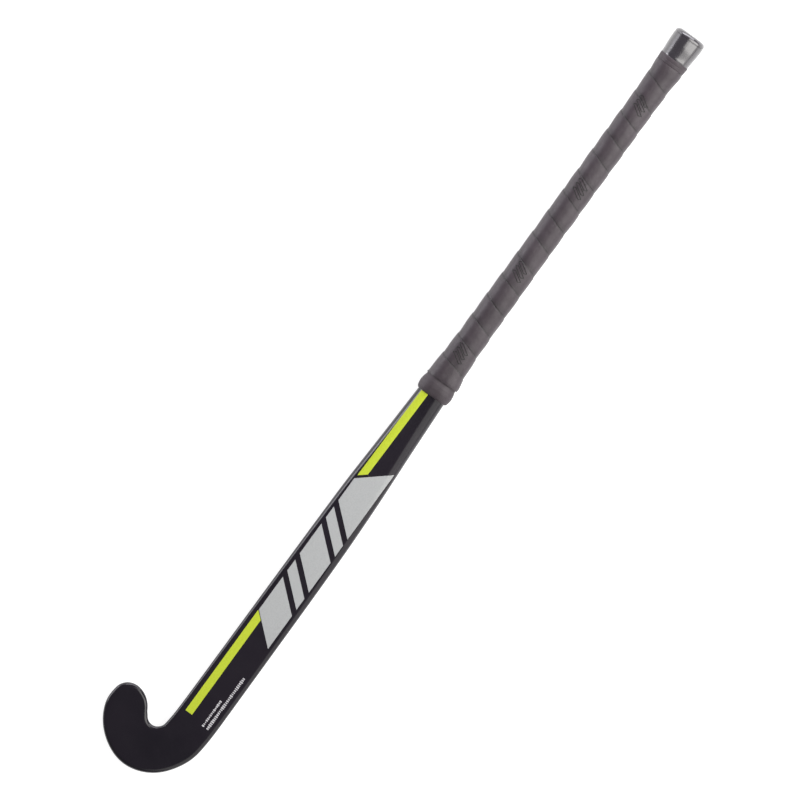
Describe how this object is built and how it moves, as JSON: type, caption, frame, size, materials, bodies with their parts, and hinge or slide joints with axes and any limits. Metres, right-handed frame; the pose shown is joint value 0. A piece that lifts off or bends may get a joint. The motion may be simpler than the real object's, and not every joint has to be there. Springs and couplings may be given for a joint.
{
  "type": "field hockey stick",
  "caption": "Rigid J-shaped field hockey stick with a flat playing face, rounded back, tapered shaft, taped cylindrical handle and a flared butt cap.",
  "frame": {"origin": "centre of the bounding box in plan, at the surface that the stick lies on", "axes": "+Y up the handle, -X from the shaft towards the toe, +Z out of the flat playing face"},
  "size_m": [0.1125, 0.9528, 0.0554],
  "materials": {
    "black_lacquer": "satin",
    "core_foam": "matte",
    "tube_laminate": "satin",
    "plug_plastic": "matte",
    "cap_gloss": "gloss",
    "grip_tape": "matte",
    "band_rubber": "matte",
    "lime_film": "satin",
    "grey_film": "satin"
  },
  "bodies": {
    "root": {"laminate_shell": "black_lacquer", "head_core": "core_foam", "toe_side_tube": "tube_laminate", "heel_side_tube": "tube_laminate", "butt_plug": "plug_plastic", "butt_cap": "cap_gloss", "end_disc": "cap_gloss", "grip_tape": "grip_tape", "finishing_band": "band_rubber", "sealing_band": "band_rubber", "lower_stripe": "lime_film", "upper_stripe": "lime_film", "graphic_bar_1": "grey_film", "graphic_bar_2": "grey_film", "graphic_bar_3": "grey_film", "graphic_bar_4": "grey_film", "graphic_bar_5": "grey_film"}
  },
  "joints": []
}
